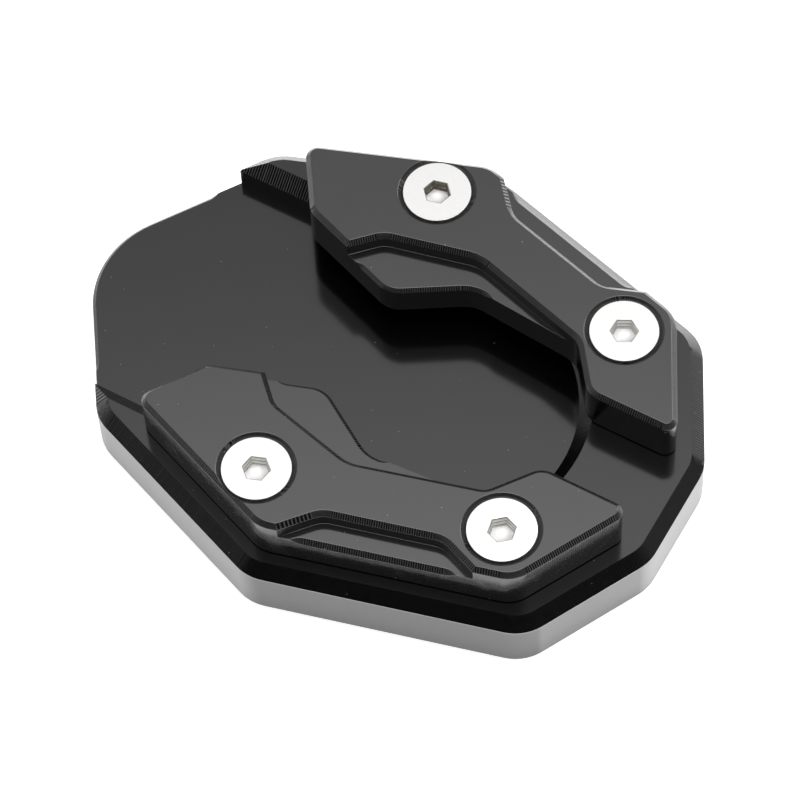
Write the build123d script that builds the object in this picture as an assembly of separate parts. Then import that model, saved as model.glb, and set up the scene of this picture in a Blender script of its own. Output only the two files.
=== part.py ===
"""Kickstand foot enlarger: a machined ground plate with two clamps that hold the side stand's foot.

Millimetres. The plate lies flat on the ground at z = 0. X runs from the rounded tip to the closed end of
the foot pocket, Y across the plate, and the origin is under the middle of the plate's length.
"""

from build123d import *
import os
from math import acos, atan2, cos, degrees, hypot, radians, sin, tan

os.makedirs("parts", exist_ok=True)

# Plate in plan: each corner is so far back from the closed end, and so far out from the pocket's side wall
plate_length = 111.0
end_edge_width = 19.6
shoulder_back = 11.6
shoulder_rim = 7.4
side_back = 56.9
side_rim = 19.55
heel_back = 94.2
heel_rim = 5.8
tip_radius = 17.0
corner_radius = 8.0

# Plate in height
plate_thickness = 11.6
floor_thickness = 5.3
rim_chamfer = 2.2
tip_chamfer = 0.6
tip_chamfer_width = 38.0

# Foot pocket
pocket_width = 48.4
pocket_end_wall = 21.6
pocket_flare = 2.5

# Clamps: insets from the plate's wall, and places of corners from the screw beside them
clamp_thickness = 9.3
ledge_drop = 3.1
clamp_chamfer = 0.85
inner_ledge_chamfer = 0.65
clamp_foot_chamfer = 0.3
side_inset = 4.2
shoulder_inset = 4.8
hook_gap = 15.6
outer_ledge_depth = 4.35
cutter_radius = 3.0
tail_from_tip_screw = (-17.2, -13.4)
nose_from_tip_screw = (1.4, -19.9)
notch_from_tip_screw = (13.7, -12.35)
step_back_from_tip_screw = (-3.6, -12.1)
step_front_from_tip_screw = (12.55, -8.3)
waist_from_end_screw = (-5.9, -5.3)
hook_beyond_end_screw = 0.2
outer_ledge_from_screws = (13.55, -7.5)
inner_chamfer_from_tip_screw = (-4.5, 15.8)
outer_chamfer_from_screws = (12.5, -5.3)

# Clamp corner radii
clamp_corner_radius = 5.8
tail_radius = 3.85
tail_tip_radius = 2.1
nose_radius = 5.0
notch_radius = 6.5
waist_radius = 3.15
hook_radius = 3.85
hook_tip_radius = 1.85
step_back_radius = 4.15
step_front_radius = 7.15
outer_ledge_radius = 4.8

# Clamp edge headings in degrees
tail_heading = 124
notch_heading = -4.4
step_heading = 45
outer_ledge_headings = (130.9, 20.8)

# Screws: countersunk, hexagon socket
thread_diameter = 6.0
head_diameter = 11.6
head_rim = 0.7
screw_length = 16.0
screw_tip_chamfer = 0.8
socket_width = 4.0
socket_depth = 2.7
socket_mouth = 0.15
drill_point = 150.0
socket_turns = {"left": (13, 27.5), "right": (20, 40.5)}

# Fits
thread_play = 0.1
shank_play = 0.6
head_gap = 0.9
tapped_mouth_chamfer = 0.5

# Screw places, from the plate's corners beside them
tip_screw_from_side = (-5.15, -13.35)
end_screw_from_shoulder = (-9.75, -10.4)


def shifted(point, offset):
    return (point[0] + offset[0], point[1] + offset[1])


def polar(point, distance, heading):
    return shifted(point, (distance * cos(radians(heading)), distance * sin(radians(heading))))


def heading_of(start, end):
    return degrees(atan2(end[1] - start[1], end[0] - start[0]))


def crossing(point_a, heading_a, point_b, heading_b):
    """Where two lines meet, each given by a point on it and its heading in degrees."""
    gap_x, gap_y = point_b[0] - point_a[0], point_b[1] - point_a[1]
    across_b = gap_x * sin(radians(heading_b)) - gap_y * cos(radians(heading_b))
    return polar(point_a, across_b / sin(radians(heading_b - heading_a)), heading_a)


# Worked out from the values above
closed_end = plate_length / 2
pocket_wall = pocket_width / 2
ledge_height = clamp_thickness - ledge_drop
top = plate_thickness + clamp_thickness
head_radius = head_diameter / 2
shank_radius = (thread_diameter - thread_play) / 2

end_corner = (closed_end, end_edge_width / 2)
shoulder = (closed_end - shoulder_back, pocket_wall + shoulder_rim)
side = (closed_end - side_back, pocket_wall + side_rim)
heel = (closed_end - heel_back, pocket_wall + heel_rim)
tip_screw = shifted(side, tip_screw_from_side)
end_screw = shifted(shoulder, end_screw_from_shoulder)


def rounded_face(corners):
    """A closed face from corners, each a point and its corner radius."""
    points = [point for point, _ in corners]
    radii = [radius for _, radius in corners]
    return make_face(FilletPolyline(*points, radius=radii, close=True).edges())


def raised(face, bottom, height):
    return extrude(Pos(0, 0, bottom) * face, height)


def break_top(solid, size):
    return chamfer(solid.faces().sort_by(Axis.Z)[-1].edges(), size)


def break_foot(solid, size):
    return chamfer(solid.faces().sort_by(Axis.Z)[0].edges(), size)


def chamfer_pass(face, bottom, height, size, start, end, outward):
    """What a cone cutter takes from a top edge between two points, then its round run-in and run-out."""
    prism = raised(face, bottom, height)
    reach = 10 * cutter_radius
    gate = [polar(start, reach, outward[0]), polar(start, -cutter_radius, outward[0])]
    gate += [polar(end, -cutter_radius, outward[1]), polar(end, reach, outward[1])]
    gated = raised(make_face(Polyline(*gate, close=True)), bottom, height)
    cuts = [(prism - break_top(prism, size)) & gated]
    cone = Cone(cutter_radius - size, cutter_radius, size, align=(Align.CENTER, Align.CENTER, Align.MAX))
    for point, heading in zip((start, end), outward):
        centre = polar(point, cutter_radius - size, heading)
        cuts.append(Pos(*centre, bottom + height) * Rot(0, 0, heading) * cone)
    return cuts


def both_sides(left_half):
    return [left_half, mirror(left_half, about=Plane.XZ)]


# Base plate

def tip_edge():
    """Where the two straight edges beside the rounded tip would meet, and the left one's heading."""
    centre_x = tip_radius - closed_end
    touch = heading_of((centre_x, 0), heel)
    touch += degrees(acos(tip_radius / hypot(heel[0] - centre_x, heel[1])))
    return (centre_x + tip_radius / cos(radians(touch)), 0), touch - 90


def plate_face():
    half = [(point, corner_radius) for point in (end_corner, shoulder, side, heel)]
    other_half = [((x, -y), radius) for (x, y), radius in reversed(half)]
    return rounded_face(half + [(tip_edge()[0], tip_radius)] + other_half)


def pocket():
    """A slot open at the tip with a round closed end, and a 45 degree flare along its top edge."""
    centre_x = closed_end - pocket_end_wall - pocket_wall
    low = plate_thickness - pocket_flare
    wide = pocket_wall + 2 * pocket_flare
    depth = plate_thickness - floor_thickness
    slot_end = Pos(centre_x, 0, floor_thickness)
    standing = (Align.CENTER, Align.CENTER, Align.MIN)
    towards_tip = (Align.MAX, Align.CENTER, Align.MIN)
    straight = slot_end * Box(plate_length, pocket_width, 2 * depth, align=towards_tip)
    straight += slot_end * Cylinder(pocket_wall, 2 * depth, align=standing)
    flank = Polyline((-pocket_wall, low), (pocket_wall, low), (wide, low + 2 * pocket_flare),
                     (-wide, low + 2 * pocket_flare), close=True)
    flare = extrude(Plane.YZ.offset(centre_x) * make_face(flank), -plate_length)
    flare += Pos(centre_x, 0, low) * Cone(pocket_wall, wide, 2 * pocket_flare, align=standing)
    return straight + flare


def tip_chamfer_pass():
    """The small chamfer along the tip's floor, which stops short of the raised rim."""
    tip_corner, heading = tip_edge()
    gate = crossing(tip_corner, heading, (0, tip_chamfer_width / 2), 0)
    return chamfer_pass(plate_face(), 0, floor_thickness, tip_chamfer, (gate[0], -gate[1]), gate,
                        (-heading - 90, heading + 90))


def tapped_hole():
    tap_radius = thread_diameter / 2
    hole = Cylinder(tap_radius, plate_thickness, align=(Align.CENTER, Align.CENTER, Align.MIN))
    return hole + Cone(tap_radius + tapped_mouth_chamfer, tap_radius, tapped_mouth_chamfer,
                       align=(Align.CENTER, Align.CENTER, Align.MIN))


def base_plate():
    plate = break_top(raised(plate_face(), 0, plate_thickness), rim_chamfer)
    plate -= pocket()
    plate -= tip_chamfer_pass()
    for x, y in (tip_screw, end_screw):
        for hole in both_sides(Pos(x, y) * tapped_hole()):
            plate -= hole
    return plate


# Clamps, made for the left side of the plate

def clamp_outlines():
    """The ledges' outline, and the raised body's outline inside it."""
    side_edge = heading_of(shoulder, side)
    heel_edge = heading_of(side, heel)
    end_edge = heading_of(end_corner, shoulder)
    on_side = polar(side, -side_inset, side_edge - 90)
    on_heel = polar(heel, -side_inset, heel_edge - 90)
    on_end = polar(shoulder, -shoulder_inset, end_edge - 90)

    tail = shifted(tip_screw, tail_from_tip_screw)
    nose = shifted(tip_screw, nose_from_tip_screw)
    notch = shifted(tip_screw, notch_from_tip_screw)
    step_back = shifted(tip_screw, step_back_from_tip_screw)
    step_front = shifted(tip_screw, step_front_from_tip_screw)
    waist = shifted(end_screw, waist_from_end_screw)
    hook = (end_screw[0] + hook_beyond_end_screw, hook_gap / 2)
    side_corner = crossing(on_heel, heel_edge, on_side, side_edge)
    shoulder_corner = crossing(on_side, side_edge, on_end, end_edge)

    tail_end = [(crossing(tail, tail_heading, on_heel, heel_edge), tail_tip_radius), (tail, tail_radius)]
    inner_end = [(waist, waist_radius), (hook, hook_radius)]
    inner_end += [(crossing(hook, 0, on_end, end_edge), hook_tip_radius)]
    inner_end += [(shoulder_corner, clamp_corner_radius)]
    fade = crossing(notch, notch_heading, step_front, heading_of(step_front, waist))
    ledges = tail_end + [(nose, nose_radius), (notch, notch_radius), (fade, 0)] + inner_end
    ledges += [(side_corner, clamp_corner_radius)]

    step_start = crossing(step_back, step_heading, tail, heading_of(tail, nose))
    inner_step = [(step_start, 0), (step_back, step_back_radius), (step_front, step_front_radius)]
    on_body = polar(on_side, -outer_ledge_depth, side_edge - 90)
    front = crossing((end_screw[0] + outer_ledge_from_screws[1], 0), 90, on_body, side_edge)
    back = crossing((tip_screw[0] + outer_ledge_from_screws[0], 0), 90, on_body, side_edge)
    outer_step = [(crossing(front, outer_ledge_headings[1], on_side, side_edge), 0)]
    outer_step += [(front, outer_ledge_radius), (back, outer_ledge_radius)]
    outer_step += [(crossing(back, outer_ledge_headings[0], on_side, side_edge), 0)]
    body = tail_end + inner_step + inner_end + outer_step + [(side_corner, clamp_corner_radius)]
    return ledges, body


def ledge_chamfer_passes(ledges):
    """The ledges' outer edges are chamfered only between the cutter's run-in and run-out."""
    face = rounded_face(ledges)
    corners = [point for point, _ in ledges]
    nose_edge = heading_of(corners[1], corners[2])
    start = crossing(corners[1], nose_edge, (tip_screw[0] + inner_chamfer_from_tip_screw[0], 0), 90)
    end = crossing(corners[3], notch_heading, (tip_screw[0] + inner_chamfer_from_tip_screw[1], 0), 90)
    side_edge = heading_of(shoulder, side)
    outer = [crossing(corners[-1], side_edge, (screw[0] + offset, 0), 90)
             for screw, offset in zip((end_screw, tip_screw), reversed(outer_chamfer_from_screws))]
    cuts = chamfer_pass(face, plate_thickness, ledge_height, inner_ledge_chamfer, start, end,
                        (nose_edge - 90, notch_heading - 90))
    return cuts + chamfer_pass(face, plate_thickness, ledge_height, clamp_chamfer, *outer,
                               (side_edge - 90, side_edge - 90))


def clamp_hole():
    """The countersink that the head's cone sits in, wider than the head, and the shank's hole."""
    hole_radius = (thread_diameter + shank_play) / 2
    mouth_radius = head_radius + head_gap
    hanging = (Align.CENTER, Align.CENTER, Align.MAX)
    hole = Cylinder(hole_radius, clamp_thickness, align=hanging)
    return hole + Cone(hole_radius, mouth_radius, mouth_radius - hole_radius, align=hanging)


def clamp():
    ledges, body = clamp_outlines()
    solid = break_top(raised(rounded_face(body), plate_thickness, clamp_thickness), clamp_chamfer)
    solid += raised(rounded_face(ledges), plate_thickness, ledge_height)
    solid = break_foot(solid, clamp_foot_chamfer) - ledge_chamfer_passes(ledges)
    for x, y in (tip_screw, end_screw):
        solid -= Pos(x, y, top) * clamp_hole()
    return solid


# Screws

def screw():
    """A countersunk screw with its flat top at z = 0 and its socket's corner towards X."""
    cone_end = head_rim + head_radius - shank_radius
    profile = Polyline((0, 0), (head_radius, 0), (head_radius, -head_rim), (shank_radius, -cone_end),
                       (shank_radius, screw_tip_chamfer - screw_length),
                       (shank_radius - screw_tip_chamfer, -screw_length), (0, -screw_length), close=True)
    blank = revolve(Plane.XZ * make_face(profile), Axis.Z)
    socket = extrude(RegularPolygon(socket_width / 2, 6, major_radius=False), -socket_depth)
    mouth = RegularPolygon(socket_width / 2 + socket_mouth, 6, major_radius=False)
    socket += extrude(mouth, -socket_mouth, taper=45)
    point_depth = socket_width / 2 / tan(radians(drill_point / 2))
    socket += Pos(0, 0, -socket_depth) * Cone(0, socket_width / 2, point_depth,
                                              align=(Align.CENTER, Align.CENTER, Align.MAX))
    return blank - socket


def clamp_screws():
    placed = []
    for flip, turns in ((1, socket_turns["left"]), (-1, socket_turns["right"])):
        for (x, y), turn in zip((tip_screw, end_screw), turns):
            placed.append(Pos(x, flip * y, top - head_gap + head_rim) * Rot(0, 0, turn) * screw())
    return Compound(placed)


clamp_left, clamp_right = both_sides(clamp())
export_step(base_plate(), "parts/base_plate.step")
export_step(clamp_left, "parts/clamp_left.step")
export_step(clamp_right, "parts/clamp_right.step")
export_step(clamp_screws(), "parts/clamp_screws.step")
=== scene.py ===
"""The kickstand foot enlarger on a white studio floor: black anodised plate and clamps, bright screws."""

import bpy
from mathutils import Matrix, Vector
from math import radians


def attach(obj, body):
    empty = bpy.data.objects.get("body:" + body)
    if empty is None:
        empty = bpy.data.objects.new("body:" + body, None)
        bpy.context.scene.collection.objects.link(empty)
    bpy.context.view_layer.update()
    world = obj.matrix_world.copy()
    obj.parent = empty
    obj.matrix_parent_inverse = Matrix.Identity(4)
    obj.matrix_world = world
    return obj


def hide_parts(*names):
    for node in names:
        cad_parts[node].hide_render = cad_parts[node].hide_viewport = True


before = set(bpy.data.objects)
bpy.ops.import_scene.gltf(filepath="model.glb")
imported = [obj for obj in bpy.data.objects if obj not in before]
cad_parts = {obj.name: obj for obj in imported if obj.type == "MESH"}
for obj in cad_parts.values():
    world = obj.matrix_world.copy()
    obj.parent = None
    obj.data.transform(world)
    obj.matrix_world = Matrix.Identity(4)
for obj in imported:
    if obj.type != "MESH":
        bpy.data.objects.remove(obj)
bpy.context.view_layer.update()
bpy.ops.object.select_all(action="DESELECT")

# Places on the part, in millimetres
BARE_WALL_TOP = 9.4
# Bottom of the painted highlight line along the top edge of the bare wall
EDGE_HIGHLIGHT_BOTTOM = 9.24
POCKET_END_X = 9.7
POCKET_RADIUS = 24.2
HEAD_TOP = 20.7
SOCKET_MOUTH_BOTTOM = 20.5
SOCKET_REACH = 2.6
SCREWS = ((-6.55, 30.4), (34.15, 21.2))

# Distances between the marks that the cutters left, in millimetres
WIDE_BITE = 0.47
FINE_BITE = 0.4
BROACH_STEP = 1.05

# Heights of marks, in millimetres
FLARE_MARKS = (0.008, 0.038)
RIM_MARKS = 0.032
PLATE_WALL_MARKS = 0.004
CLAMP_CHAMFER_MARKS = 0.04
CLAMP_WALL_MARKS = 0.006
RIPPLE = 0.0003
PLATE_GRAIN = 0.0006
FINE_GRAIN = 0.0008

# How the edges are broken, in metres and degrees
PLATE_EDGE = 0.00008
FINE_EDGE = 0.00005
SAME_POINT = 0.000002
SAME_FACE_ANGLE = 0.2
SHARP_ANGLE = 24

# Colours
WHITE = (1, 1, 1, 1)
ANODISED_PLATE = (0.0018, 0.0018, 0.002, 1)
ANODISED_CLAMP = (0.002, 0.002, 0.0022, 1)
BARE_DULL = (0.14, 0.14, 0.141, 1)
STEEL = ((0.71, 0.705, 0.695, 1), (0.79, 0.785, 0.775, 1))
# Dull grey broach steps, on socket walls painted white as painted light
BROACH_STEPS_ON_PAINTED_LIGHT = ((0.2, 0.19, 0.17, 1), (1, 0.99, 0.97, 1))
STAINED = ((0.1, 0.085, 0.06, 1), (0.9, 0.86, 0.76, 1))

# The room, seen from the part
WINDOW_WAY = (-0.92, -0.25, 0.3)
DOORWAY_WAY = (0.87, 0.42, 0.265)
FLOOR_SIZE = 6.0
SOFTBOX_PLACE = (0.35, 0.9, 0.9)
SOFTBOX_SIZE = 0.6
SOFTBOX_POWER = 6

# Camera, in millimetres, metres and degrees
SENSOR = 36
LENS = 178.316
CAMERA_PLACE = (0.180638, -0.280539, 0.588544)
CAMERA_TURN = (29.5607, 1.7149, 29.3599)


# Shader arithmetic

class Signal:
    """One output of a shader node. Arithmetic on signals adds the nodes that work it out."""

    def __init__(self, wiring, socket):
        self.wiring = wiring
        self.socket = socket

    def maths(self, operation, *others):
        return self.wiring.maths(operation, self, *others)

    def __add__(self, other):
        return self.maths("ADD", other)

    def __sub__(self, other):
        return self.maths("SUBTRACT", other)

    def __rsub__(self, other):
        return self.wiring.maths("SUBTRACT", other, self)

    def __mul__(self, other):
        return self.maths("MULTIPLY", other)

    def __truediv__(self, other):
        return self.maths("DIVIDE", other)

    __radd__ = __add__
    __rmul__ = __mul__

    def size(self):
        return self.maths("ABSOLUTE")

    def between(self, low, high):
        """0 below low, 1 above high and a smooth rise from one to the other."""
        return self.wiring.node("MapRange", {"interpolation_type": "SMOOTHSTEP"},
                                {"Value": self, "From Min": low, "From Max": high})

    def band(self, low, high, soft):
        """1 from low to high and 0 outside, with soft edges."""
        return self.between(low - soft, low + soft) * (1 - self.between(high - soft, high + soft))


class Wiring:
    """The node tree of a material or of the world, filled by expressions."""

    def __init__(self, tree):
        self.tree = tree
        tree.nodes.clear()

    def node(self, kind, settings=None, sockets=None, output=0):
        made = self.tree.nodes.new("ShaderNode" + kind)
        for name, value in (settings or {}).items():
            setattr(made, name, value)
        for name, value in (sockets or {}).items():
            if isinstance(value, Signal):
                self.tree.links.new(value.socket, made.inputs[name])
            else:
                made.inputs[name].default_value = value
        return Signal(self, made.outputs[output]) if made.outputs else None

    def maths(self, operation, *values):
        return self.node("Math", {"operation": operation}, dict(enumerate(values)))

    def vector(self, operation, *values, output=0):
        return self.node("VectorMath", {"operation": operation}, dict(enumerate(values)), output)

    def dot(self, first, second):
        return self.vector("DOT_PRODUCT", first, second, output="Value")

    def length(self, vector):
        return self.vector("LENGTH", vector, output="Value")

    def parts(self, vector):
        split = self.node("SeparateXYZ", None, {0: vector}).socket.node
        return [Signal(self, output) for output in split.outputs]

    def join(self, x, y, z):
        return self.node("CombineXYZ", None, {0: x, 1: y, 2: z})

    def mix(self, mask, first, second):
        """first where the mask is 0 and second where it is 1, both colours."""
        return self.node("Mix", {"data_type": "RGBA"}, {0: mask, 6: first, 7: second}, 2)

    def place(self):
        """The point on the part, in millimetres."""
        point = self.node("TexCoord", None, None, "Object")
        return self.vector("MULTIPLY", point, (1000, 1000, 1000))

    def facing(self):
        return self.node("NewGeometry", None, None, "Normal")

    def noise(self, point, scale, detail, rough=0.5):
        return self.node("TexNoise", {"noise_dimensions": "3D"},
                         {"Vector": point, "Scale": scale, "Detail": detail, "Roughness": rough})

    def noise_along(self, travel, scale, detail):
        return self.node("TexNoise", {"noise_dimensions": "1D"},
                         {"W": travel, "Scale": scale, "Detail": detail})

    def bump(self, height):
        return self.node("Bump", None, {"Height": height, "Strength": 1.0, "Distance": 0.001})


def grey(value):
    return (value, value, value, 1)


def new_material(name):
    material = bpy.data.materials.new(name)
    material.use_nodes = True
    return material, Wiring(material.node_tree)


def surface(wires, **sockets):
    """The shader at the end of a material, with its sockets named as Blender names them."""
    named = {name.replace("_", " "): value for name, value in sockets.items()}
    shader = wires.node("BsdfPrincipled", None, named)
    wires.node("OutputMaterial", None, {"Surface": shader})


# Marks and masks

def bites(wires, travel, pitch):
    """Scallops along the cutter's way, with a sharp cusp between each and the next: height, cusp lines."""
    count = travel / pitch + wires.noise_along(travel, 0.4, 1.0) * 0.6
    across = (count.maths("FRACT") - 0.5).size() * 2
    depth = 0.6 + wires.noise_along(count, 0.7, 2.0) * 0.8
    return across * across * depth, across.between(0.3, 1.0) * depth


def along_edge(wires, point, normal):
    """How far along its own edge a point on a chamfer or wall lies."""
    level = wires.vector("NORMALIZE", wires.vector("CROSS_PRODUCT", normal, (0, 0, 1)))
    return wires.dot(point, level)


def dust(wires, point, cell, amount, size):
    """Sparse specks: a spot of the given size in a few of the cells."""
    cells = {"Vector": point, "Scale": 1 / cell}
    near = wires.node("TexVoronoi", None, cells, "Distance")
    chance = wires.parts(wires.node("TexVoronoi", None, cells, "Color"))[0]
    spot = 1 - near.between(size * 0.5 / cell, size / cell)
    return spot * chance.between(1 - amount, 1 - amount * 0.5)


def slopes_and_walls(wires, normal):
    """Masks of the 45 degree faces and of the upright ones."""
    up = wires.parts(normal)[2]
    return up.band(0.5, 0.88, 0.06), 1 - up.size().between(0.3, 0.5)


# Finishes

def black_plate():
    material, wires = new_material("black_anodised_plate")
    point, normal = wires.place(), wires.facing()
    x, y, z = wires.parts(point)
    along, across, _ = wires.parts(normal)
    slope, wall = slopes_and_walls(wires, normal)

    # The pocket's flare is milled along the pocket, the outer chamfer along the outline
    from_end = x - POCKET_END_X
    turn = y.maths("ARCTAN2", from_end) * (POCKET_RADIUS + 1)
    straight = 1 - x.between(POCKET_END_X - 0.1, POCKET_END_X + 0.1)
    flare_height, flare_cusps = bites(wires, x * straight + turn * (1 - straight), WIDE_BITE)
    inward = wires.dot(normal, wires.vector("NORMALIZE", wires.join(from_end, y, 0.0)))
    in_pocket = 1 - inward.between(-0.05, 0.05)
    outside = 1 - in_pocket
    rim_height, rim_cusps = bites(wires, along_edge(wires, point, normal), WIDE_BITE)
    wall_height, _ = bites(wires, along_edge(wires, point, normal), FINE_BITE)

    # The marks are weaker on the pocket's front side and round the closed end
    rear_side = (0 - across).between(0.1, 0.5)
    far_end = along.between(0.2, 0.6) * outside
    faint, strong = FLARE_MARKS
    height = flare_height * in_pocket * (faint + rear_side * (strong - faint))
    height = height + rim_height * outside * RIM_MARKS
    height = height * slope * (1 - far_end * (0.3 + across.between(-0.1, 0.1) * 0.4))
    height = height + wall_height * wall * PLATE_WALL_MARKS
    # The milling cusps are painted lighter; on the flare's rear side, where they are much lighter, this is
    # a painted glint
    cusp_marks_and_glints = (flare_cusps * 0.4 * rear_side * in_pocket + rim_cusps * outside * 0.035) * slope

    grain = wires.noise(point, 9.0, 3.0)
    cloud = wires.noise(point, 0.11, 2.0)
    specks = dust(wires, point, 1.5, 0.2, 0.13)
    ripple = wires.noise(point, 1.2, 2.0) * RIPPLE

    # The black, with its cusps painted lighter as painted glints
    black = wires.mix(cusp_marks_and_glints, ANODISED_PLATE, grey(0.2))
    black = wires.mix(specks, black, grey(0.12))
    # Painted light: the bare wall is painted lighter where it faces left and lighter still where it faces
    # the end, as light falls on those sides, over a random grain
    painted_side_light = (1 - along.between(-0.35, 0.2)) * 0.13 + along.between(0.8, 1.0) * 0.2
    silver = wires.mix(painted_side_light + grain * 0.05, BARE_DULL, WHITE)
    # Painted highlight: a thin band at the top of the bare wall is painted light grey, a highlight line
    # along the edge
    silver = wires.mix(z.between(EDGE_HIGHLIGHT_BOTTOM, EDGE_HIGHLIGHT_BOTTOM + 0.06), silver, grey(0.5))
    bare = wall * outside * (1 - z.between(BARE_WALL_TOP + 0.01, BARE_WALL_TOP + 0.05))
    rough_black = 0.1 + cloud * 0.04 + grain * 0.02 + slope * 0.04 + specks * 0.4
    rough_silver = 0.34 + grain * 0.1
    surface(wires, Base_Color=wires.mix(bare, black, silver), Metallic=bare, IOR=1.65,
            Roughness=rough_black * (1 - bare) + rough_silver * bare,
            Normal=wires.bump(height + grain * PLATE_GRAIN + ripple))
    return material


def black_clamp():
    material, wires = new_material("black_anodised_clamp")
    point, normal = wires.place(), wires.facing()
    slope, wall = slopes_and_walls(wires, normal)
    marks, cusps = bites(wires, along_edge(wires, point, normal), FINE_BITE)
    grain = wires.noise(point, 9.0, 3.0)
    cloud = wires.noise(point, 0.15, 2.0)
    specks = dust(wires, point, 1.4, 0.22, 0.13)
    smear = wires.noise(point, 0.3, 2.0, 0.6).between(0.5, 0.75) * wall
    ripple = wires.noise(point, 1.2, 2.0) * RIPPLE

    black = wires.mix(cusps * slope + smear * 0.05, ANODISED_CLAMP, grey(0.07))
    height = marks * (slope * CLAMP_CHAMFER_MARKS + wall * CLAMP_WALL_MARKS)
    surface(wires, Base_Color=wires.mix(specks, black, grey(0.2)), IOR=1.85,
            Roughness=0.1 + cloud * 0.04 + grain * 0.03 + slope * 0.06 + specks * 0.4 + smear * 0.08,
            Normal=wires.bump(height + grain * FINE_GRAIN + ripple))
    return material


def bright_steel():
    """Turned heads, with the dull grey steps that the broach left down the socket's walls, which are
    painted white as painted light in the recess.
    """
    material, wires = new_material("stainless_screws")
    point, normal = wires.place(), wires.facing()
    x, y, z = wires.parts(point)
    up = wires.parts(normal)[2]
    grain = wires.noise(point, 6.0, 3.0)
    blotch = wires.noise(point, 1.7, 3.0, 0.7)

    from_axes = [wires.length(wires.join(x - screw_x, y.size() - screw_y, 0.0))
                 for screw_x, screw_y in SCREWS]
    in_socket = 1 - from_axes[0].maths("MINIMUM", from_axes[1]).between(SOCKET_REACH, SOCKET_REACH + 0.1)
    in_socket = in_socket * (1 - z.between(SOCKET_MOUTH_BOTTOM, SOCKET_MOUTH_BOTTOM + 0.06))
    socket_wall = in_socket * (1 - up.between(0.3, 0.6))

    # The socket of the rear screw beside the tip is stained
    depth = (HEAD_TOP - z + blotch * 0.5 + 0.25) / BROACH_STEP
    steps = (depth.maths("FRACT") - 0.5).size().between(0.03, 0.17) * (0.7 + blotch * 0.5)
    # Painted light: the socket walls are painted white, brighter than the head's steel, against the shade
    # in the recess; the dull grey bands are broach steps
    clean = wires.mix(steps, *BROACH_STEPS_ON_PAINTED_LIGHT)
    stained = wires.mix(blotch.between(0.45, 0.75) * 0.7 + steps * 0.2, *STAINED)
    walls = wires.mix((1 - x.between(0, 10)) * y.between(0, 10), clean, stained)
    surface(wires, Base_Color=wires.mix(socket_wall, wires.mix(grain, *STEEL), walls), Metallic=1.0,
            Roughness=0.24 + grain * 0.1 + in_socket * 0.25, Normal=wires.bump(grain * FINE_GRAIN))
    return material


def white_floor():
    """A pale sheet that glows as painted light: brighter behind the part than in front of it and at its
    sides, and painted darker far from it.
    """
    material, wires = new_material("studio_floor")
    point = wires.place()
    far = wires.length(point).between(118, 240)
    behind = wires.parts(point)[1].between(20, 80)
    colour = wires.mix(wires.noise(point, 0.4, 2.0), grey(0.93), grey(0.95))
    # Painted light: the glow is a painted pool of light behind the part, with painted shade in front of it
    # and at its sides
    glow = wires.mix(behind, grey(0.58), WHITE)
    # Painted shade: the floor's colour and glow are painted darker far from the part
    surface(wires, Base_Color=wires.mix(far, colour, grey(0.3)), Roughness=0.7,
            Emission_Color=wires.mix(far, glow, grey(0.12)), Emission_Strength=1.0)
    return material


# Pieces

def machined_copy(node, name, edge, material):
    """A node's shape with its sharp edges just broken, as a deburred part has them."""
    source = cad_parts[node]
    piece = bpy.data.objects.new(name, source.data.copy())
    bpy.context.scene.collection.objects.link(piece)
    bpy.ops.object.select_all(action="DESELECT")
    bpy.context.view_layer.objects.active = piece
    piece.select_set(True)
    bpy.ops.object.mode_set(mode="EDIT")
    bpy.ops.mesh.select_all(action="SELECT")
    bpy.ops.mesh.remove_doubles(threshold=SAME_POINT)
    bpy.ops.mesh.dissolve_limited(angle_limit=radians(SAME_FACE_ANGLE))
    bpy.ops.object.mode_set(mode="OBJECT")
    bevel = piece.modifiers.new("broken edges", "BEVEL")
    bevel.width = edge
    bevel.segments = 2
    bevel.limit_method = "ANGLE"
    bevel.angle_limit = radians(SHARP_ANGLE)
    bpy.ops.object.modifier_apply(modifier=bevel.name)
    bpy.ops.object.shade_smooth_by_angle(angle=radians(SHARP_ANGLE))
    weigh = piece.modifiers.new("flat faces stay flat", "WEIGHTED_NORMAL")
    weigh.keep_sharp = True
    bpy.ops.object.modifier_apply(modifier=weigh.name)
    piece.data.materials.clear()
    piece.data.materials.append(material)
    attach(piece, "root")
    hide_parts(node)
    piece.select_set(False)


plate_finish = black_plate()
clamp_finish = black_clamp()
steel = bright_steel()
machined_copy("base_plate", "plate_milled", PLATE_EDGE, plate_finish)
machined_copy("clamp_left", "clamp_left_milled", FINE_EDGE, clamp_finish)
machined_copy("clamp_right", "clamp_right_milled", FINE_EDGE, clamp_finish)
machined_copy("clamp_screws", "screws_turned", FINE_EDGE, steel)


# Floor

bpy.ops.mesh.primitive_plane_add(size=FLOOR_SIZE, location=(0, 0, 0))
floor = bpy.context.active_object
floor.name = "studio_floor"
floor.data.materials.append(white_floor())


# Light

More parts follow.
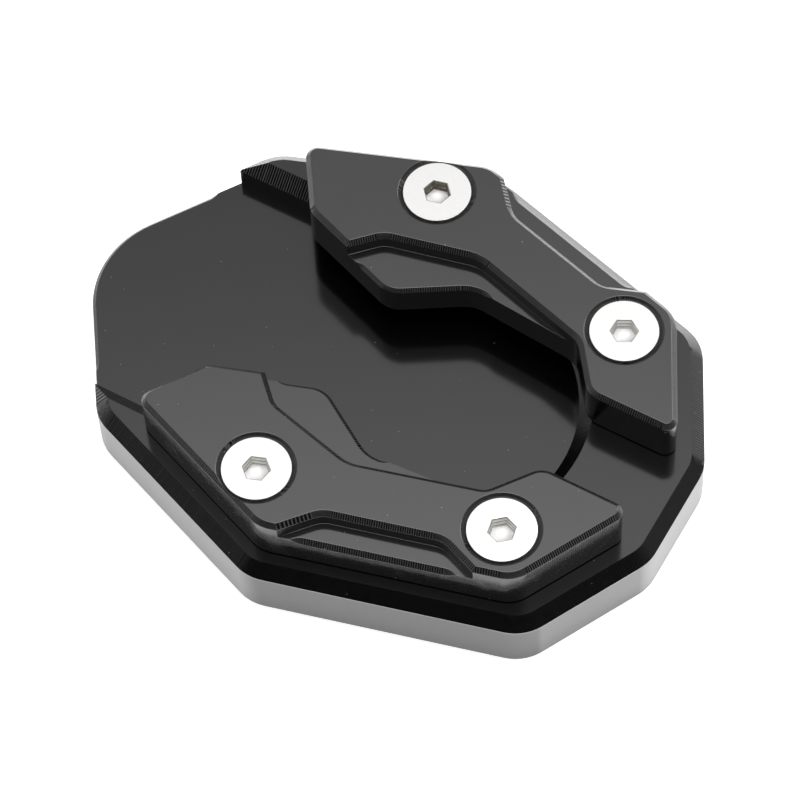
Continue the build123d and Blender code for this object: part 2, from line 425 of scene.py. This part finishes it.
def studio_world():
    """A room that is dark behind the camera, with a bright ceiling, a window on the left and a doorway."""
    world = bpy.data.worlds.new("white_room")
    world.use_nodes = True
    bpy.context.scene.world = world
    wires = Wiring(world.node_tree)
    way = wires.vector("NORMALIZE", wires.node("TexCoord", None, None, "Generated"))
    x, y, z = wires.parts(way)
    far_wall = y.between(0.2, 0.9) * (0.03 + z.between(0.15, 0.5) * 0.97)
    ceiling = z.between(0.5, 0.84) * (0.75 + y.between(-0.3, 0.2) * 0.25)
    lamp = z.between(0.84, 0.895) * y.between(-0.3, 0.2)
    overhead = z.between(0.93, 0.99)
    window = wires.dot(way, WINDOW_WAY).between(0.88, 0.96)
    doorway = wires.dot(way, DOORWAY_WAY).between(0.92, 0.98)
    low_wall = (1 - z.between(0.1, 0.28)) * (1 - y.between(0.0, 0.3)) * x.between(0.0, 0.5)
    strength = far_wall * (1 - ceiling) + (ceiling + lamp) * 0.8 + overhead * 4
    strength = strength + window * 0.5 + doorway * 0.2 + low_wall * 0.6
    shader = wires.node("Background", None, {"Color": WHITE, "Strength": strength})
    wires.node("OutputWorld", None, {"Surface": shader})


def softbox():
    """One round lamp at the far right, which shines on the part."""
    light = bpy.data.lights.new("far_right_softbox", "AREA")
    light.shape = "DISK"
    light.size = SOFTBOX_SIZE
    light.energy = SOFTBOX_POWER
    lamp = bpy.data.objects.new("far_right_softbox", light)
    bpy.context.scene.collection.objects.link(lamp)
    lamp.location = SOFTBOX_PLACE
    lamp.rotation_mode = "QUATERNION"
    lamp.rotation_quaternion = Vector(SOFTBOX_PLACE).to_track_quat("Z", "Y")


studio_world()
softbox()


# Camera

camera = bpy.data.objects.new("camera", bpy.data.cameras.new("camera"))
bpy.context.scene.collection.objects.link(camera)
camera.data.sensor_width = SENSOR
camera.data.lens = LENS
camera.location = CAMERA_PLACE
camera.rotation_euler = [radians(turn) for turn in CAMERA_TURN]
camera.data.clip_start = 0.05
camera.data.clip_end = 20
bpy.context.scene.camera = camera
bpy.context.scene.view_settings.view_transform = "Standard"
bpy.context.scene.view_settings.look = "None"
